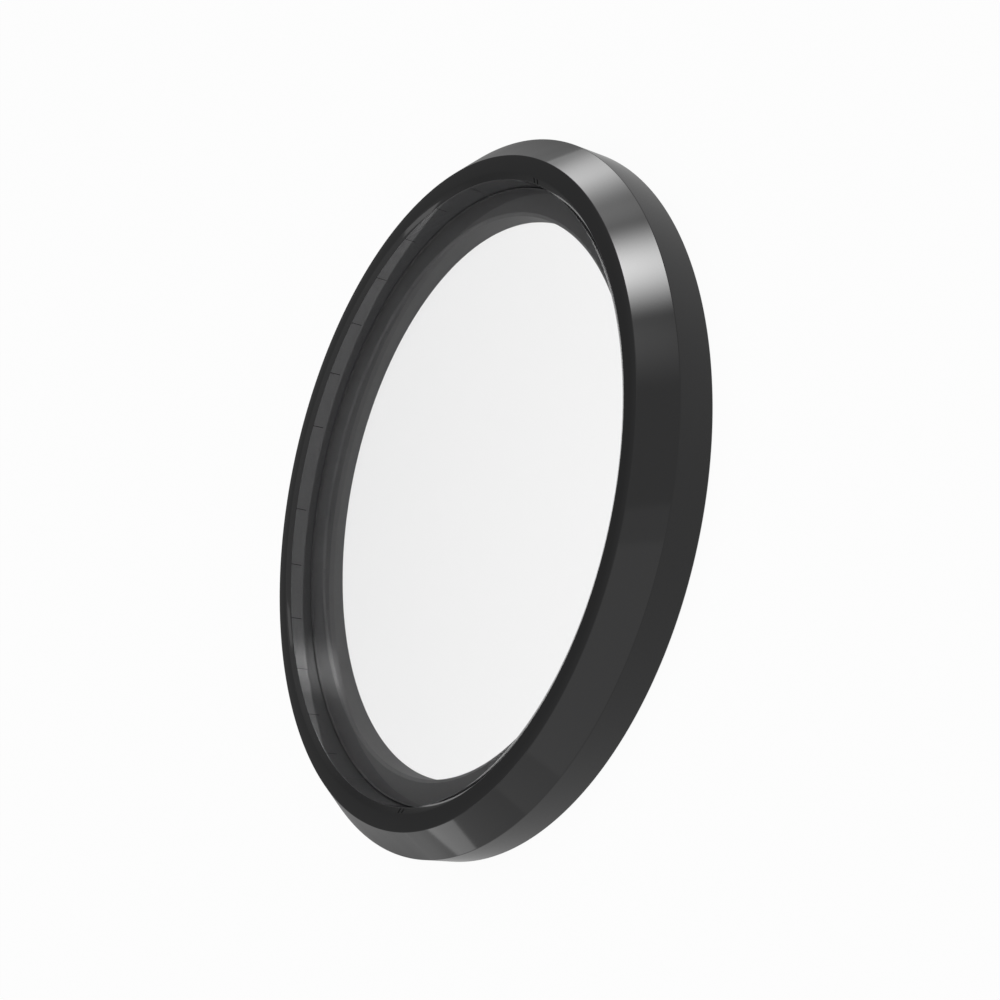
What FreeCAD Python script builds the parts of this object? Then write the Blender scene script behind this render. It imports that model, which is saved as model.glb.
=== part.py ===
import FreeCAD, Part
import os

import Sketcher

# Push-on lens filter: a turned ring, and a round glass bonded to the ledge at the foot of its front recess.
# Behind the ledge is the clear aperture, whose rear end slips over the lens's rim.
# The filter lies on its flat rear face: the optical axis is +Z, and z = 0 is that face.

doc = FreeCAD.newDocument("lens_filter")

# Driving dimensions, in millimetres. Widths are radial and heights are along the axis.
SIZES = [
    ("recess_diameter", 36.5),       # front recess, which the glass lies in
    ("recess_depth", 1.65),          # from the front face down to the glass
    ("mouth_width", 0.375),          # bevel round the mouth of the recess
    ("mouth_depth", 0.22),
    ("face_width", 0.975),           # flat annulus of the front face
    ("chamfer_width", 1.4),          # broad chamfer outside the front face
    ("chamfer_height", 1.52),
    ("edge_break", 0.1),             # rear corner of the outer band
    ("glass_thickness", 0.5),
    ("glass_clearance", 0.03),       # round the glass, in the recess
    ("glass_bevel", 0.05),           # ground edges of the glass
    ("seat_width", 1.45),            # ledge that the glass is bonded to
    ("aperture_bevel_width", 0.2),   # bevel where the ledge meets the aperture
    ("aperture_bevel_height", 0.12),
    ("shoulder_height", 1.45),       # from the rear face up to the ledge
]

sheet = doc.addObject("Spreadsheet::Sheet", "Sizes")
for row, (alias, number) in enumerate(SIZES, start=1):
    sheet.set(f"A{row}", alias)
    sheet.set(f"B{row}", str(number))
    sheet.setAlias(f"B{row}", alias)
doc.recompute()

# Radii, outwards and inwards from the recess.
RECESS_R = "Sizes.recess_diameter / 2"
MOUTH_R = f"{RECESS_R} + Sizes.mouth_width"
FACE_R = f"{MOUTH_R} + Sizes.face_width"
OUTER_R = f"{FACE_R} + Sizes.chamfer_width"
GLASS_R = f"{RECESS_R} - Sizes.glass_clearance"
SEAT_R = f"{RECESS_R} - Sizes.seat_width"
APERTURE_R = f"{SEAT_R} - Sizes.aperture_bevel_width"

# Heights, stacked from the rear face: shoulder, glass, recess.
SEAT_Z = "Sizes.shoulder_height"
GLASS_Z = f"{SEAT_Z} + Sizes.glass_thickness"
FRONT_Z = f"{GLASS_Z} + Sizes.recess_depth"
ON_BASE = None                       # a point that lies on the sketch's horizontal axis


def origin_plane(body, role):
    """One of the body's own three base planes."""
    return next(item for item in body.Origin.OriginFeatures if item.Role == role)


def new_sketch(body, name, role):
    """An empty sketch on one of the body's base planes."""
    sketch = body.newObject("Sketcher::SketchObject", name)
    sketch.AttachmentSupport = [(origin_plane(body, role), "")]
    sketch.MapMode = "FlatFace"
    return sketch


def drive(sketch, constraint, expression):
    """Add a dimension to the sketch and bind it to the sheet."""
    index = sketch.addConstraint(constraint)
    sketch.setExpression(f"Constraints[{index}]", expression)


def closed_profile(sketch, points):
    """Straight-sided outline whose corners are (radius, height) expressions of the sheet."""
    corners = []
    for radius, height in points:
        x = float(sheet.evalExpression(radius))
        y = 0.0 if height is ON_BASE else float(sheet.evalExpression(height))
        corners.append(FreeCAD.Vector(x, y, 0))
    count = len(corners)
    for i in range(count):
        sketch.addGeometry(Part.LineSegment(corners[i], corners[(i + 1) % count]), False)
    for i in range(count):
        sketch.addConstraint(Sketcher.Constraint("Coincident", i, 2, (i + 1) % count, 1))
    for i, (radius, height) in enumerate(points):
        drive(sketch, Sketcher.Constraint("DistanceX", -1, 1, i, 1, corners[i].x), radius)
        if height is ON_BASE:
            sketch.addConstraint(Sketcher.Constraint("PointOnObject", i, 1, -1))
        else:
            drive(sketch, Sketcher.Constraint("DistanceY", -1, 1, i, 1, corners[i].y), height)


def make_frame_ring():
    """The ring, turned in one piece: band, chamfer, front face, recess, ledge and aperture."""
    body = doc.addObject("PartDesign::Body", "frame_ring")
    body.Label = "frame_ring"
    sketch = new_sketch(body, "frame_ring_outline", "XZ_Plane")
    closed_profile(sketch, [
        (APERTURE_R, ON_BASE),
        (f"{OUTER_R} - Sizes.edge_break", ON_BASE),
        (OUTER_R, "Sizes.edge_break"),
        (OUTER_R, f"{FRONT_Z} - Sizes.chamfer_height"),
        (FACE_R, FRONT_Z),
        (MOUTH_R, FRONT_Z),
        (RECESS_R, f"{FRONT_Z} - Sizes.mouth_depth"),
        (RECESS_R, SEAT_Z),
        (SEAT_R, SEAT_Z),
        (APERTURE_R, f"{SEAT_Z} - Sizes.aperture_bevel_height"),
    ])
    turned = body.newObject("PartDesign::Revolution", "frame_ring_turned")
    turned.Profile = sketch
    turned.ReferenceAxis = (sketch, ["V_Axis"])
    turned.Angle = 360
    doc.recompute()
    return body


def make_filter_glass():
    """A plane-parallel disc with ground edges, its rear face on the ledge of the recess."""
    body = doc.addObject("PartDesign::Body", "filter_glass")
    body.Label = "filter_glass"
    sketch = new_sketch(body, "filter_glass_outline", "XY_Plane")
    radius = float(sheet.evalExpression(GLASS_R))
    circle = Part.Circle(FreeCAD.Vector(0, 0, 0), FreeCAD.Vector(0, 0, 1), radius)
    sketch.addGeometry(circle, False)
    sketch.addConstraint(Sketcher.Constraint("Coincident", 0, 3, -1, 1))
    drive(sketch, Sketcher.Constraint("Radius", 0, radius), GLASS_R)
    disc = body.newObject("PartDesign::Pad", "filter_glass_disc")
    disc.Profile = sketch
    disc.setExpression("Length", "Sizes.glass_thickness")
    doc.recompute()
    rims = [f"Edge{i}" for i, edge in enumerate(disc.Shape.Edges, start=1) if edge.isClosed()]
    ground = body.newObject("PartDesign::Chamfer", "filter_glass_edges")
    ground.Base = (disc, rims)
    ground.setExpression("Size", "Sizes.glass_bevel")
    body.setExpression("Placement.Base.z", SEAT_Z)
    doc.recompute()
    return body


pieces = [make_frame_ring(), make_filter_glass()]
doc.recompute()

for item in doc.Objects:
    if "Invalid" in item.State or "Error" in item.State:
        raise RuntimeError(f"{item.Label} did not build: {item.State}")
for piece in pieces:
    if piece.Shape.isNull() or not piece.Shape.isValid() or len(piece.Shape.Solids) != 1:
        raise RuntimeError(f"{piece.Label} is not one valid solid")

os.makedirs("parts", exist_ok=True)
for piece in pieces:
    piece.Shape.exportStep(f"parts/{piece.Label}.step")
    box = piece.Shape.BoundBox
    print(f"{piece.Label}: {piece.Shape.Volume:.2f} mm3")
    print(f"  radius {box.XMax:.3f}, z {box.ZMin:.3f} to {box.ZMax:.3f}")
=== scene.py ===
# %% [markdown]
# # A push-on lens filter
# The object is a black anodised ring, turned on a lathe, with a clear round glass at the foot of its
# front recess. Behind the glass the bore steps in to the clear aperture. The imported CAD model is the
# fixed frame: it says how large every piece is and where it sits. Here both pieces are made again as
# finer meshes, they get their finishes, and a small studio is set round them.

# %% Load the frame
import math

import bmesh
import bpy
from mathutils import Matrix, Vector


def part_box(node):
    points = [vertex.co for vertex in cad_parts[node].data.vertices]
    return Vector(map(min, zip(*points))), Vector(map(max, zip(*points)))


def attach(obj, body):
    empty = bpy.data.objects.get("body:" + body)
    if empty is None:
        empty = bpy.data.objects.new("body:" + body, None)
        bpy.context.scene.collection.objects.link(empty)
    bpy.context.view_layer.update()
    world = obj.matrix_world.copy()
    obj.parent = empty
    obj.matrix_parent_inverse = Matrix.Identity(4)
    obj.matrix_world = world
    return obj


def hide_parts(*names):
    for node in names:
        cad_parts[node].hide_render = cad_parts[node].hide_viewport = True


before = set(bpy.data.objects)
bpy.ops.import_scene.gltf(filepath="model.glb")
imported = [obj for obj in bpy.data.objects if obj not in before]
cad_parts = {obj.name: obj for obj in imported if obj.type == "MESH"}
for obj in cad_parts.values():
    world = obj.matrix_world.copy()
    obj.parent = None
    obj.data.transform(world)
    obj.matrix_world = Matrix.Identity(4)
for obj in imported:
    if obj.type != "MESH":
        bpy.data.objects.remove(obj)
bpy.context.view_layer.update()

MM = 0.001                      # Blender works in metres, the drawing of the filter in millimetres

# %% [markdown]
# ## Camera
# The filter lies flat, face up, on the floor, but the photograph shows it standing almost on edge. So
# the camera looks down on it from the photograph's angle and is then rolled about its own line of sight
# until the ring stands upright in the frame. An empty to track would be another way, but it can't roll.
# The place and the angles come from fitting the ring's circles to the photograph.

# %% Camera
RING_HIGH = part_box("frame_ring")[1]     # the ring's highest corner
FRONT_Z = RING_HIGH[2]
CAMERA_REACH = 74.28 * MM       # from the optical axis, along +X
CAMERA_SIDE = 0.15 * MM         # off the X axis
CAMERA_RISE = 40.06 * MM        # above the front face
LOOK_DOWN = math.radians(31.32)
ROLL = math.radians(77.91)
FOCAL_LENGTH = 52.26            # millimetres, for the sensor below
SENSOR_WIDTH = 36.0
CLIP_START = 1.0 * MM           # the default of 100 mm would cut the filter away
QUARTER_TURN = math.radians(90)


def make_camera():
    """Set upright, look along -X and down, then roll clockwise."""
    data = bpy.data.cameras.new("camera")
    data.lens = FOCAL_LENGTH
    data.sensor_width = SENSOR_WIDTH
    data.clip_start = CLIP_START
    camera = bpy.data.objects.new("camera", data)
    place = Matrix.Translation((CAMERA_REACH, CAMERA_SIDE, FRONT_Z + CAMERA_RISE))
    face_back = Matrix.Rotation(QUARTER_TURN, 4, "Z")
    tip = Matrix.Rotation(QUARTER_TURN - LOOK_DOWN, 4, "X")
    camera.matrix_world = place @ face_back @ tip @ Matrix.Rotation(-ROLL, 4, "Z")
    bpy.context.scene.collection.objects.link(camera)
    bpy.context.scene.camera = camera
    print("camera at", [round(value / MM, 2) for value in camera.matrix_world.translation], "mm")


make_camera()

# %% [markdown]
# ## Frame ring
# A lathe cuts this ring from bar, so the mesh is made the same way: half of its section is drawn once,
# in the XZ plane, and spun round the optical axis. A stack of cylinders and booleans would give the same
# solid with a worse mesh. The sizes below repeat those of the CAD model, inwards from its box.

# %% Sizes of the ring
GLASS_LOW, GLASS_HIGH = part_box("filter_glass")
OUTER_R = RING_HIGH[0]
GLASS_R = GLASS_HIGH[0]
GLASS_Z = GLASS_HIGH[2]         # front of the glass
SEAT_Z = GLASS_LOW[2]           # ledge that the glass is bonded to

CHAMFER_WIDTH = 1.4 * MM        # broad chamfer outside the front face
CHAMFER_HEIGHT = 1.52 * MM
EDGE_BREAK = 0.1 * MM           # rear corner of the outer band
FACE_WIDTH = 0.975 * MM         # flat annulus of the front face
MOUTH_DEPTH = 0.22 * MM         # bevel round the mouth of the recess
GLASS_CLEARANCE = 0.03 * MM     # round the glass, in the recess
SEAT_WIDTH = 1.45 * MM
APERTURE_BEVEL_WIDTH = 0.2 * MM
APERTURE_BEVEL_HEIGHT = 0.12 * MM

FACE_R = OUTER_R - CHAMFER_WIDTH
MOUTH_R = FACE_R - FACE_WIDTH
RECESS_R = GLASS_R + GLASS_CLEARANCE
SEAT_R = RECESS_R - SEAT_WIDTH
APERTURE_R = SEAT_R - APERTURE_BEVEL_WIDTH
RADII = (OUTER_R, FACE_R, MOUTH_R, RECESS_R, SEAT_R, APERTURE_R)
print("radii in mm:", [round(radius / MM, 3) for radius in RADII])

# %% [markdown]
# A vertex bevel rounds each corner of the section by a hair before the spin, because every deburred edge
# catches a thin line of light. Smooth shading would then bend the light over the wide flats, so a
# Weighted Normal modifier lets the large faces decide, and the flats stay flat. The faces of the inside
# go to two more material slots, because the wall of the recess and what lies below it get other
# roughness, and lighter greys that are painted light on the dim recess.

# %% Frame ring
RING_SECTION = [                # radius and height, from the rear corner of the aperture outwards
    (APERTURE_R, 0.0),
    (OUTER_R - EDGE_BREAK, 0.0),
    (OUTER_R, EDGE_BREAK),
    (OUTER_R, FRONT_Z - CHAMFER_HEIGHT),
    (FACE_R, FRONT_Z),
    (MOUTH_R, FRONT_Z),
    (RECESS_R, FRONT_Z - MOUTH_DEPTH),
    (RECESS_R, SEAT_Z),
    (SEAT_R, SEAT_Z),
    (APERTURE_R, SEAT_Z - APERTURE_BEVEL_HEIGHT),
]
EDGE_ROUND = 0.03 * MM          # rounding that a deburred edge keeps
ROUND_STEPS = 3
TURN_STEPS = 288                # faces round the ring
BORED_SLOT = 1                  # material slot of the recess wall
BLASTED_SLOT = 2                # material slot of the ledge and the aperture
SORTING_REACH = 0.01 * MM       # how far a face may lie off the wall or the rear and still count as on it
LARGE_FACES_DECIDE = 100        # the modifier's highest weight


def finished_object(name, bm):
    """Put a bmesh into an object at the origin that moves with the filter."""
    mesh = bpy.data.meshes.new(name)
    bm.to_mesh(mesh)
    bm.free()
    piece = bpy.data.objects.new(name, mesh)
    bpy.context.scene.collection.objects.link(piece)
    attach(piece, "root")
    print(f"{name}: {len(mesh.vertices)} vertices, {len(mesh.polygons)} faces")
    return piece


def make_turned_ring():
    """Round the corners of the section, spin it into a closed ring and keep its flats flat."""
    bm = bmesh.new()
    corners = [bm.verts.new((radius, 0.0, height)) for radius, height in RING_SECTION]
    for i, corner in enumerate(corners):
        bm.edges.new((corner, corners[(i + 1) % len(corners)]))
    bmesh.ops.bevel(bm, geom=corners, offset=EDGE_ROUND, offset_type="OFFSET", affect="VERTICES",
                    segments=ROUND_STEPS, profile=0.5, material=-1)
    bmesh.ops.spin(bm, geom=bm.verts[:] + bm.edges[:], cent=(0, 0, 0), axis=(0, 0, 1), dvec=(0, 0, 0),
                   angle=math.tau, steps=TURN_STEPS, use_merge=True)
    bmesh.ops.recalc_face_normals(bm, faces=bm.faces)
    for face in bm.faces:
        face.smooth = True
        middle = face.calc_center_median()
        if middle.xy.length < RECESS_R + SORTING_REACH and middle.z > SORTING_REACH:
            on_wall = middle.xy.length > RECESS_R - SORTING_REACH
            face.material_index = BORED_SLOT if on_wall else BLASTED_SLOT
    ring = finished_object("turned_ring", bm)
    flats = ring.modifiers.new("flats stay flat", "WEIGHTED_NORMAL")
    flats.mode = "FACE_AREA"
    flats.weight = LARGE_FACES_DECIDE
    return ring


turned_ring = make_turned_ring()
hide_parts("frame_ring")

# %% [markdown]
# ## Glass
# The glass is a plane-parallel disc with ground edges, and its margin is bonded to the ledge. It starts
# as a disc from create_circle, is extruded to its thickness and has its two edge loops bevelled. A
# cylinder with a Bevel modifier would look the same, but here the faces can be sorted at once: the
# ground rim goes to a second material slot, and an inset of the rear face marks off the bonded margin
# for a third.

# %% Glass disc
GLASS_BEVEL = 0.05 * MM
BOND_FILM = 0.01 * MM           # lifts the glass off its ledge, so that the two faces don't coincide
BOND_WIDTH = GLASS_R - GLASS_BEVEL - SEAT_R
RIM_SLOT = 1                    # material slot of the ground rim
BOND_SLOT = 2                   # material slot of the bonded margin
SHARP_EDGE = math.radians(60)   # an edge that turns more than this is ground
LEVEL = 0.95                    # a face whose normal rises less than this belongs to the ground rim


def make_glass_disc():
    """Extrude a disc, grind its edges, and mark its rim and the margin that is bonded."""
    bm = bmesh.new()
    made = bmesh.ops.create_circle(bm, cap_ends=True, radius=GLASS_R, segments=TURN_STEPS)
    bmesh.ops.translate(bm, verts=made["verts"], vec=(0, 0, SEAT_Z + BOND_FILM))
    rise = bmesh.ops.extrude_face_region(bm, geom=bm.faces[:], use_keep_orig=True)
    top = [item for item in rise["geom"] if isinstance(item, bmesh.types.BMVert)]
    bmesh.ops.translate(bm, verts=top, vec=(0, 0, GLASS_Z - SEAT_Z - BOND_FILM))
    bmesh.ops.recalc_face_normals(bm, faces=bm.faces)
    edges = [edge for edge in bm.edges if edge.calc_face_angle() > SHARP_EDGE]
    bmesh.ops.bevel(bm, geom=edges, offset=GLASS_BEVEL, offset_type="OFFSET", affect="EDGES",
                    segments=1, profile=0.5, material=-1)
    for face in bm.faces:
        if abs(face.normal.z) < LEVEL:
            face.material_index = RIM_SLOT
            face.smooth = True
    rear = [face for face in bm.faces if face.normal.z < -LEVEL]
    margin = bmesh.ops.inset_region(bm, faces=rear, thickness=BOND_WIDTH, use_even_offset=True)
    for face in margin["faces"]:
        face.material_index = BOND_SLOT
    return finished_object("glass_disc", bm)


glass_disc = make_glass_disc()
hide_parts("filter_glass")

# %% [markdown]
# ## Finishes
# Colours are written as sRGB hex values, as a painter picks them, and one function turns them into the
# linear values that the renderer works in. A second function adds a node with its settings and its
# links. Inputs go by name, or by number where names repeat: on a Mix node 2 and 3 are the two numbers,
# and 6 and 7 the two colours.

# %% Helpers for finishes


def linear(hex_colour):
    """sRGB hex to linear RGBA, along the curve of the sRGB standard."""
    channels = []
    for start in (1, 3, 5):
        value = int(hex_colour[start:start + 2], 16) / 255
        channels.append(value / 12.92 if value <= 0.04045 else ((value + 0.055) / 1.055) ** 2.4)
    return (*channels, 1.0)


def add_node(tree, kind, settings=None, inputs=None):
    """Add one node. settings are its own properties; inputs are values, or sockets to link from."""
    node = tree.nodes.new(kind)
    for name, value in (settings or {}).items():
        setattr(node, name, value)
    for name, value in (inputs or {}).items():
        if isinstance(value, bpy.types.NodeSocket):
            tree.links.new(value, node.inputs[name])
        else:
            node.inputs[name].default_value = value
    return node


def new_material(name):
    """A material with an empty node tree and its output node."""
    material = bpy.data.materials.new(name)
    material.use_nodes = True
    tree = material.node_tree
    tree.nodes.clear()
    output = add_node(tree, "ShaderNodeOutputMaterial")
    return material, tree, output


print("#808080 in linear light:", round(linear("#808080")[0], 3))

# %% [markdown]
# ## Fine marks
# Fine lines show on two surfaces of the ring: hairlines along the axis on the upper half of the recess
# wall, about a thirtieth of a turn apart, and a pair of short radial ticks on the mouth's bevel at each
# side. They could be cut in the mesh, but they are far finer than its faces. So they are masks: the
# point's angle round the axis places each line, and its radius and height keep the line on its own
# surface.

# %% Fine marks
HAIRLINE_PITCH = math.radians(12.2)
HAIRLINE_START = math.radians(9.15)     # the first one on either side of the middle
HAIRLINE_MIDDLE = math.radians(1.4)     # past the side away from the camera
HAIRLINE_WIDTH = 0.05 * MM
TICK_ANGLES = (math.radians(104.8), math.radians(106.0))
TICK_WIDTH = 0.14 * MM
ON_SURFACE = 0.04 * MM          # how far off the wall's radius a hairline may lie
BEVEL_R = (MOUTH_R + RECESS_R) / 2
TICK_REACH = 0.13 * MM          # how far a tick runs either way from the middle of the bevel
MARKS_END = FRONT_Z - 0.95 * MM         # the marks stop at this height


def polar_place(tree):
    """A point, its radius and height, and its angle from the side away from the camera."""
    place = add_node(tree, "ShaderNodeTexCoord")
    axes = add_node(tree, "ShaderNodeSeparateXYZ", inputs={0: place.outputs["Object"]})
    across = add_node(tree, "ShaderNodeVectorMath", {"operation": "MULTIPLY"}, {
        0: place.outputs["Object"], 1: (1.0, 1.0, 0.0)})
    radius = add_node(tree, "ShaderNodeVectorMath", {"operation": "LENGTH"}, {0: across.outputs[0]})
    back = add_node(tree, "ShaderNodeMath", {"operation": "MULTIPLY"}, {0: axes.outputs["X"], 1: -1.0})
    turn = add_node(tree, "ShaderNodeMath", {"operation": "ARCTAN2"}, {
        0: axes.outputs["Y"], 1: back.outputs[0]})
    return place.outputs["Object"], radius.outputs["Value"], axes.outputs["Z"], turn.outputs[0]


def fine_marks(tree, radius, height, turn):
    """1 on a hairline or a tick, 0 elsewhere."""
    angle = add_node(tree, "ShaderNodeMath", {"operation": "ABSOLUTE"}, {0: turn}).outputs[0]
    shifted = add_node(tree, "ShaderNodeMath", {"operation": "ADD"}, {0: turn, 1: HAIRLINE_MIDDLE})
    either_side = add_node(tree, "ShaderNodeMath", {"operation": "ABSOLUTE"}, {0: shifted.outputs[0]})
    from_first = add_node(tree, "ShaderNodeMath", {"operation": "SUBTRACT"}, {
        0: either_side.outputs[0], 1: HAIRLINE_START})
    steps = add_node(tree, "ShaderNodeMath", {"operation": "PINGPONG"}, {
        0: from_first.outputs[0], 1: HAIRLINE_PITCH / 2})
    hairline = add_node(tree, "ShaderNodeMath", {"operation": "LESS_THAN"}, {
        0: steps.outputs[0], 1: HAIRLINE_WIDTH / 2 / RECESS_R})
    on_wall = add_node(tree, "ShaderNodeMath", {"operation": "COMPARE"}, {
        0: radius, 1: RECESS_R, 2: ON_SURFACE})
    marks = add_node(tree, "ShaderNodeMath", {"operation": "MULTIPLY"}, {
        0: hairline.outputs[0], 1: on_wall.outputs[0]})
    on_bevel = add_node(tree, "ShaderNodeMath", {"operation": "COMPARE"}, {
        0: radius, 1: BEVEL_R, 2: TICK_REACH})
    for tick_angle in TICK_ANGLES:
        tick = add_node(tree, "ShaderNodeMath", {"operation": "COMPARE"}, {
            0: angle, 1: tick_angle, 2: TICK_WIDTH / 2 / BEVEL_R})
        marks = add_node(tree, "ShaderNodeMath", {"operation": "MULTIPLY_ADD"}, {
            0: tick.outputs[0], 1: on_bevel.outputs[0], 2: marks.outputs[0]})
    high_up = add_node(tree, "ShaderNodeMath", {"operation": "GREATER_THAN"}, {0: height, 1: MARKS_END})
    return add_node(tree, "ShaderNodeMath", {"operation": "MULTIPLY"}, {
        0: marks.outputs[0], 1: high_up.outputs[0]}).outputs[0]


print("hairlines in a whole turn:", round(math.tau / HAIRLINE_PITCH, 1))

# %% [markdown]
# ## Black anodised aluminium
# Anodising grows a thin, hard oxide on the turned metal, which is dyed and sealed. The eye sees a deep
# black under the gloss of a clear film, so the shader is a dark dielectric and not a bare metal. Two
# things keep it from looking like plastic: the rings that the tool left, which run round the axis, and
# the fine grain of the etched surface. Both are far finer than a pixel on the real ring, so they are
# drawn coarser here. The ledge and the aperture were blasted matt before dyeing, to mirror less. The
# bored wall of the recess, the ledge and the aperture get much lighter greys than the face: this is
# painted light, which lifts the dim recess behind the glass. One function makes the three, because only
# their colours and their roughness differ.

# %% Black anodised aluminium
DYED_BLACK = "#0f0f10"
DYED_GREY = "#161617"           # where the dye took less
# painted light: the bored wall's greys are far lighter than the face, to lift the dim recess
BORED_PAINTED_LIGHT_DARK = "#454546"
BORED_PAINTED_LIGHT_PALE = "#4f4f50"
BLASTED_PAINTED_LIGHT_DARK = "#505051"       # painted light: far lighter than the face, to lift the dim ledge and aperture
BLASTED_PAINTED_LIGHT_PALE = "#5c5c5d"
FILM_IOR = 1.5
TURNED_GLOSS = (0.05, 0.09)     # lowest and highest roughness of the sealed film, from ring to ring
BLASTED_GLOSS = (0.34, 0.42)
TOOL_PITCH = 0.12 * MM          # real feed marks are about 0.05 mm apart
TOOL_DEPTH = 0.00002 * MM       # just enough to ripple the gloss
GRAIN = 0.09 * MM               # real grain is a few hundredths
MARK_BLACK = "#070707"
MARK_ROUGHNESS = 0.7
FILM_SHINE = 0.5
MARK_SHINE = 0.12               # a mark is a trench, which mirrors little


def make_black_anodised(name, dark, light, roughnesses):
    """Dyed oxide on aluminium: dark under a clear film, with faint rings, grain and the fine marks."""
    material, tree, output = new_material(name)
    place, radius, height, turn = polar_place(tree)
    along = add_node(tree, "ShaderNodeMath", {"operation": "ADD"}, {0: radius, 1: height})
    rings = add_node(tree, "ShaderNodeTexNoise", {"noise_dimensions": "1D"}, {
        "W": along.outputs[0], "Scale": 1 / TOOL_PITCH, "Detail": 1.0})
    grain = add_node(tree, "ShaderNodeTexNoise", inputs={
        "Vector": place, "Scale": 1 / GRAIN, "Detail": 2.0})
    marks = fine_marks(tree, radius, height, turn)
    dye = add_node(tree, "ShaderNodeMix", {"data_type": "RGBA"}, {
        0: grain.outputs[0], 6: linear(dark), 7: linear(light)})
    colour = add_node(tree, "ShaderNodeMix", {"data_type": "RGBA"}, {
        0: marks, 6: dye.outputs[2], 7: linear(MARK_BLACK)})
    gloss = add_node(tree, "ShaderNodeMapRange", inputs={
        "Value": rings.outputs[0], "To Min": roughnesses[0], "To Max": roughnesses[1]})
    roughness = add_node(tree, "ShaderNodeMix", {"data_type": "FLOAT"}, {
        0: marks, 2: gloss.outputs[0], 3: MARK_ROUGHNESS})
    shine = add_node(tree, "ShaderNodeMapRange", inputs={
        "Value": marks, "To Min": FILM_SHINE, "To Max": MARK_SHINE})
    relief = add_node(tree, "ShaderNodeBump", inputs={
        "Height": rings.outputs[0], "Strength": 1.0, "Distance": TOOL_DEPTH})
    shader = add_node(tree, "ShaderNodeBsdfPrincipled", inputs={
        "Base Color": colour.outputs[2], "Roughness": roughness.outputs[0], "IOR": FILM_IOR,
        "Specular IOR Level": shine.outputs[0], "Normal": relief.outputs[0]})
    tree.links.new(shader.outputs["BSDF"], output.inputs["Surface"])
    return material


RING_FINISHES = [               # in the order of the ring's material slots
    make_black_anodised("black_anodised_turned_aluminium", DYED_BLACK, DYED_GREY, TURNED_GLOSS),
    make_black_anodised("bored_black_anodised_with_painted_light", BORED_PAINTED_LIGHT_DARK, BORED_PAINTED_LIGHT_PALE, TURNED_GLOSS),
    make_black_anodised("blasted_black_anodised_with_painted_light", BLASTED_PAINTED_LIGHT_DARK, BLASTED_PAINTED_LIGHT_PALE, BLASTED_GLOSS),
]
for finish in RING_FINISHES:
    turned_ring.data.materials.append(finish)
print("finishes of the ring:", [finish.name for finish in RING_FINISHES])

# %% [markdown]
# ## Optical glass
# The disc is clear crown glass, polished on both faces. At the camera's slant the two faces turn back
# about a sixth of the light, so a white ground looks a little grey through it, and the dark walls behind
# it look lifted by what the glass mirrors. Both come from the index of refraction alone. The ground rim
# and the bonded margin are dull: the eye sees them through the glass as plain dark grey, with no shine
# of their own. The adhesive's grey is far lighter than a black adhesive: painted light, which lifts the
# dim margin under the glass. The adhesive could be a ring of its own, but only its upper side ever
# shows, so it is a finish on the glass.

# %% Optical glass
CROWN_IOR = 1.52
RIM_GREY = "#666667"
RIM_PALE = "#707071"
BOND_PAINTED_LIGHT_DARK = "#5e5e5f"          # painted light: far lighter than a black adhesive, to lift the dim margin under the glass
BOND_PAINTED_LIGHT_PALE = "#6a6a6b"
DULL_GRAIN = 0.05 * MM          # real grit and filler are about 0.02 mm
DULL_ROUGHNESS = 0.6


def make_clear_glass():
    """Polished crown glass: no colour of its own."""
    material, tree, output = new_material("polished_crown_glass")
    shader = add_node(tree, "ShaderNodeBsdfPrincipled", inputs={
        "Base Color": (1.0, 1.0, 1.0, 1.0), "Roughness": 0.0, "IOR": CROWN_IOR, "Transmission Weight": 1.0})
    tree.links.new(shader.outputs["BSDF"], output.inputs["Surface"])
    return material


def make_dull_finish(name, dark, light):
    """A dull surface seen from inside the glass, with a fine speckle and no shine."""
    material, tree, output = new_material(name)
    place = add_node(tree, "ShaderNodeTexCoord")
    speckle = add_node(tree, "ShaderNodeTexNoise", inputs={
        "Vector": place.outputs["Object"], "Scale": 1 / DULL_GRAIN, "Detail": 2.0})
    colour = add_node(tree, "ShaderNodeMix", {"data_type": "RGBA"}, {
        0: speckle.outputs[0], 6: linear(dark), 7: linear(light)})
    shader = add_node(tree, "ShaderNodeBsdfPrincipled", inputs={
        "Base Color": colour.outputs[2], "Roughness": DULL_ROUGHNESS, "Specular IOR Level": 0.0})
    tree.links.new(shader.outputs["BSDF"], output.inputs["Surface"])
    return material


GLASS_FINISHES = [              # in the order of the glass's material slots
    make_clear_glass(),
    make_dull_finish("ground_crown_glass", RIM_GREY, RIM_PALE),
    make_dull_finish("black_adhesive_with_painted_light", BOND_PAINTED_LIGHT_DARK, BOND_PAINTED_LIGHT_PALE),
]
for finish in GLASS_FINISHES:
    glass_disc.data.materials.append(finish)
print("finishes of the glass:", [finish.name for finish in GLASS_FINISHES])

# %% [markdown]
# ## White paper
# The filter lies on white paper. Lamps strong enough to bleach it would also wash out the black ring, so
# Light Path tells the material which kind of ray asks. The camera, and all that comes through the glass,
# sees an even white. A reflection in the ring sees the paper darker close to the ring, where it lies in
# the ring's shade, and lighter in front. Other rays get the paper's own shading, and a little of it
# stays in what the camera sees, so that the filter keeps its shadow. From below, the paper is clear and
# the rear can be seen.

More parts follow.
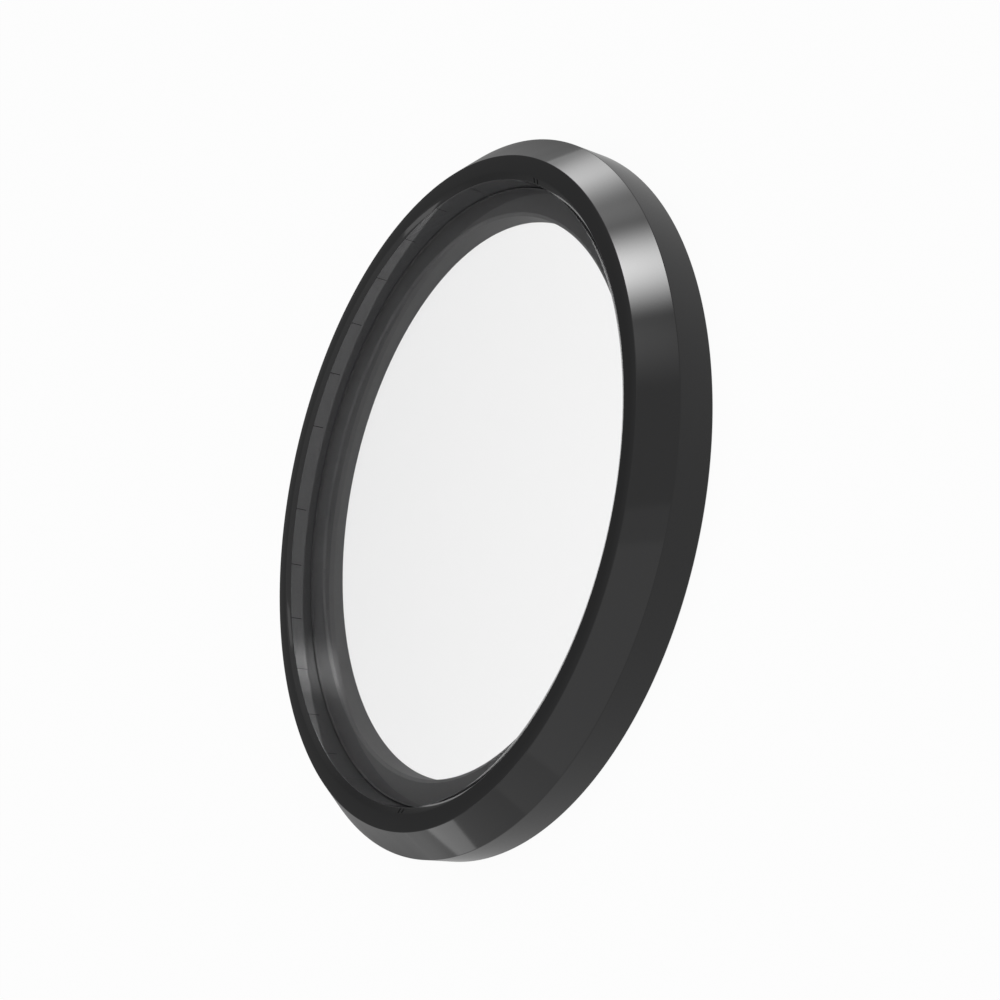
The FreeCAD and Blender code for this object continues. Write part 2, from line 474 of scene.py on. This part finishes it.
# %% White paper
PAPER_WHITE = "#f4f4f4"
EVEN_WHITE = 1.0                # strength at which the even white is white
WHITE_TO_CAMERA = 0.95          # share of the even white in what the camera sees
REFLECTED_BESIDE = [            # distance from the axis in mm, and how white a reflection sees the paper
    (20.0, 0.20),
    (24.6, 0.26),
    (26.5, 0.29),
    (30.4, 0.38),
    (42.0, 0.51),
    (100.0, 0.66),
]
REFLECTED_BEFORE = 0.67         # in front of the filter, towards the camera
BEHIND_TO_BEFORE = (-8 * MM, 18 * MM)   # along X, from one of these levels to the other
REFLECTED_BELOW_GLASS = 0.3     # in a reflection that is seen through the glass
PASSED_GLASS = 0.5              # above this, a ray's transmission depth says that it has been in the glass


def set_stops(ramp, stops):
    """Give a ramp its stops: places from 0 to 1, and the grey at each."""
    elements = ramp.color_ramp.elements
    while len(elements) < len(stops):
        elements.new(0.5)
    for element, (position, brightness) in zip(elements, stops):
        element.position = position
        element.color = (brightness, brightness, brightness, 1.0)


def reflected_white(tree, path):
    """How white a reflection sees the paper, by the paper's place and by the way through the glass."""
    place = add_node(tree, "ShaderNodeTexCoord")
    axes = add_node(tree, "ShaderNodeSeparateXYZ", inputs={0: place.outputs["Object"]})
    distance = add_node(tree, "ShaderNodeVectorMath", {"operation": "LENGTH"}, {
        0: place.outputs["Object"]})
    inner, outer = REFLECTED_BESIDE[0][0], REFLECTED_BESIDE[-1][0]
    outwards = add_node(tree, "ShaderNodeMapRange", inputs={
        "Value": distance.outputs["Value"], "From Min": inner * MM, "From Max": outer * MM})
    shade = add_node(tree, "ShaderNodeValToRGB", inputs={0: outwards.outputs[0]})
    set_stops(shade, [((mm - inner) / (outer - inner), white) for mm, white in REFLECTED_BESIDE])
    before = add_node(tree, "ShaderNodeMapRange", inputs={
        "Value": axes.outputs["X"], "From Min": BEHIND_TO_BEFORE[0], "From Max": BEHIND_TO_BEFORE[1]})
    beside = add_node(tree, "ShaderNodeMix", {"data_type": "FLOAT"}, {
        0: before.outputs[0], 2: shade.outputs[0], 3: REFLECTED_BEFORE})
    below = add_node(tree, "ShaderNodeMath", {"operation": "GREATER_THAN"}, {
        0: path.outputs["Transmission Depth"], 1: PASSED_GLASS})
    return add_node(tree, "ShaderNodeMix", {"data_type": "FLOAT"}, {
        0: below.outputs[0], 2: beside.outputs[0], 3: REFLECTED_BELOW_GLASS}).outputs[0]


def make_paper():
    """White paper, with its even white mixed in by the kind of ray."""
    material, tree, output = new_material("white_paper")
    paper = add_node(tree, "ShaderNodeBsdfDiffuse", inputs={"Color": linear(PAPER_WHITE)})
    path = add_node(tree, "ShaderNodeLightPath")
    mirrored = add_node(tree, "ShaderNodeMath", {"operation": "SUBTRACT"}, {
        0: path.outputs["Is Glossy Ray"], 1: path.outputs["Is Transmission Ray"]})
    level = add_node(tree, "ShaderNodeMix", {"data_type": "FLOAT"}, {
        0: mirrored.outputs[0], 2: EVEN_WHITE, 3: reflected_white(tree, path)})
    white = add_node(tree, "ShaderNodeEmission", inputs={
        "Color": (1.0, 1.0, 1.0, 1.0), "Strength": level.outputs[0]})
    camera = add_node(tree, "ShaderNodeMath", {"operation": "MULTIPLY"}, {
        0: path.outputs["Is Camera Ray"], 1: WHITE_TO_CAMERA})
    glossy = add_node(tree, "ShaderNodeMath", {"operation": "MAXIMUM"}, {
        0: path.outputs["Is Glossy Ray"], 1: camera.outputs[0]})
    share = add_node(tree, "ShaderNodeMath", {"operation": "MAXIMUM"}, {
        0: path.outputs["Is Transmission Ray"], 1: glossy.outputs[0]})
    mix = add_node(tree, "ShaderNodeMixShader", inputs={
        0: share.outputs[0], 1: paper.outputs[0], 2: white.outputs[0]})
    clear = add_node(tree, "ShaderNodeBsdfTransparent")
    side = add_node(tree, "ShaderNodeNewGeometry")
    one_sided = add_node(tree, "ShaderNodeMixShader", inputs={
        0: side.outputs["Backfacing"], 1: mix.outputs[0], 2: clear.outputs[0]})
    tree.links.new(one_sided.outputs[0], output.inputs["Surface"])
    return material


white_paper = make_paper()
print("paper:", white_paper.name, "with", len(white_paper.node_tree.nodes), "nodes")

# %% [markdown]
# ## Floor
# The paper is one flat face, far wider than the frame, so that neither its edge nor a horizon shows at the
# photograph's angle. A sheet that curves up behind would hide the horizon from a low camera too, but here
# it would only stand in the way of the lamps. The sheet lies a hair below the rear of the ring, because
# two faces in one plane flicker.

# %% Floor
FLOOR_SIZE = 6.0                # metres
FLOOR_DROP = 0.02 * MM


def make_floor():
    """A wide flat sheet under the filter."""
    bm = bmesh.new()
    sheet = bmesh.ops.create_grid(bm, x_segments=1, y_segments=1, size=FLOOR_SIZE / 2)
    bmesh.ops.translate(bm, verts=sheet["verts"], vec=(0, 0, -FLOOR_DROP))
    mesh = bpy.data.meshes.new("floor")
    bm.to_mesh(mesh)
    bm.free()
    mesh.materials.append(white_paper)
    floor = bpy.data.objects.new("floor", mesh)
    bpy.context.scene.collection.objects.link(floor)
    print(f"floor: {FLOOR_SIZE} m square")


make_floor()

# %% [markdown]
# ## Tent
# A glossy object is photographed in a tent of white cloth. The world stands for it: pale in front, above
# and at the sides, and dark behind, because the flat front face mirrors what lies behind it and is the
# darkest part of the photograph. A picture of a studio could light the scene too, but a ramp of a few
# greys can be matched to the ring surface by surface.

# %% Tent
TENT = [                        # place from behind (0) to in front (1), and brightness
    (0.00, 0.19),
    (0.05, 0.20),
    (0.10, 0.25),
    (0.15, 0.38),
    (0.275, 0.66),
    (0.50, 0.69),
    (1.00, 0.64),
]


def light_tent():
    """A world whose brightness depends on how far a direction points to the front."""
    world = bpy.data.worlds.new("tent")
    world.use_nodes = True
    tree = world.node_tree
    tree.nodes.clear()
    output = add_node(tree, "ShaderNodeOutputWorld")
    place = add_node(tree, "ShaderNodeTexCoord")
    axes = add_node(tree, "ShaderNodeSeparateXYZ", inputs={0: place.outputs["Generated"]})
    front = add_node(tree, "ShaderNodeMapRange", inputs={"Value": axes.outputs["X"], "From Min": -1.0})
    ramp = add_node(tree, "ShaderNodeValToRGB", inputs={0: front.outputs[0]})
    set_stops(ramp, TENT)
    tent = add_node(tree, "ShaderNodeBackground", inputs={"Color": ramp.outputs[0], "Strength": 1.0})
    tree.links.new(tent.outputs[0], output.inputs["Surface"])
    bpy.context.scene.world = world
    print("tent:", len(TENT), "greys from behind to in front")


light_tent()

# %% [markdown]
# ## Softboxes
# Gloss shows its lamps, so each light patch on the ring is a softbox that some surface mirrors. A
# glowing plane could be one, but an area lamp makes less noise. Its power is worked out from how bright
# it looks, so that the numbers can be read against white. The lamps of the key light fade to their
# edges, and diffuse light doesn't see them: they show in the gloss, and the black under it stays as it
# is.

# %% Key light
LAMP_DISTANCE = 0.4             # metres from the middle of the front face
LAMP_MIDDLE = (0.5, 0.5, 0.0)   # in the lamp's own coordinates, which run from 0 to 1
LAMP_EDGE = 0.5                 # distance from its middle at which a fading lamp goes dark


def fade_to_edges(data):
    """Let a lamp glow in its middle and fade to its edges, as cloth before a bulb does."""
    data.use_nodes = True
    tree = data.node_tree
    tree.nodes.clear()
    output = add_node(tree, "ShaderNodeOutputLight")
    place = add_node(tree, "ShaderNodeNewGeometry")
    off_centre = add_node(tree, "ShaderNodeVectorMath", {"operation": "DISTANCE"}, {
        0: place.outputs["Parametric"], 1: LAMP_MIDDLE})
    fade = add_node(tree, "ShaderNodeMapRange", {"interpolation_type": "SMOOTHSTEP"}, {
        "Value": off_centre.outputs["Value"], "From Max": LAMP_EDGE, "To Min": 1.0, "To Max": 0.0})
    glow = add_node(tree, "ShaderNodeEmission", inputs={"Strength": fade.outputs[0]})
    tree.links.new(glow.outputs[0], output.inputs[0])


def softbox(name, azimuth, elevation, width, height, brightness, key=False):
    """A rectangular lamp aimed at the filter: angles in degrees, sizes in metres, 1 as bright as white."""
    data = bpy.data.lights.new(name, "AREA")
    data.shape = "RECTANGLE"
    data.size = width
    data.size_y = height
    data.energy = brightness * math.pi * width * height
    lamp = bpy.data.objects.new(name, data)
    if key:
        fade_to_edges(data)
        lamp.visible_diffuse = False
    turn = math.radians(azimuth)
    lift = math.radians(elevation)
    aim = Vector((math.cos(lift) * math.cos(turn), math.cos(lift) * math.sin(turn), math.sin(lift)))
    place = Matrix.Translation(Vector((0, 0, FRONT_Z)) + aim * LAMP_DISTANCE)
    lamp.matrix_world = place @ aim.to_track_quat("Z", "Y").to_matrix().to_4x4()
    bpy.context.scene.collection.objects.link(lamp)
    print(f"{name}: {data.energy:.3f} W")


softbox("key_high", 86, 30, 0.23, 0.21, 15.0, key=True)
softbox("key_tail", 66, 40, 0.22, 0.18, 0.9, key=True)
softbox("key_between", 104, 19, 0.22, 0.18, 1.6, key=True)
softbox("key_low", 118, 9.3, 0.23, 0.18, 4.9, key=True)
softbox("key_foot", 129, 1.5, 0.20, 0.14, 1.0, key=True)

# %% [markdown]
# ## Panels and fills
# The five lamps of the key light overlap, and together they are the long bright patch on the chamfer.
# Small panels make the short ones: edge_panel and its soft foot at the other end of the chamfer,
# back_panel and top_panel on the bevel round the mouth, and horizon_panel along that bevel on the near
# side. Two wide, weak fills lift the chamfer between its patches.

# %% Panels and fills
softbox("edge_panel", -117.5, 9.7, 0.078, 0.055, 1.0)
softbox("edge_foot", -127, 3, 0.20, 0.14, 0.35, key=True)
softbox("back_panel", -145, 43.5, 0.06, 0.07, 1.0)
softbox("top_panel", 131, 63, 0.06, 0.045, 0.8)
softbox("horizon_panel", 180, 1.0, 0.30, 0.03, 1.0)
softbox("front_fill", -47, 38, 0.75, 0.25, 0.15)
softbox("front_fill_short", -39, 40, 0.55, 0.25, 0.15)

# %% [markdown]
# ## View
# Blender's usual view bends colours as film does. Standard shows them as they were written.

# %% View
bpy.context.scene.view_settings.view_transform = "Standard"

print("view:", bpy.context.scene.view_settings.view_transform)
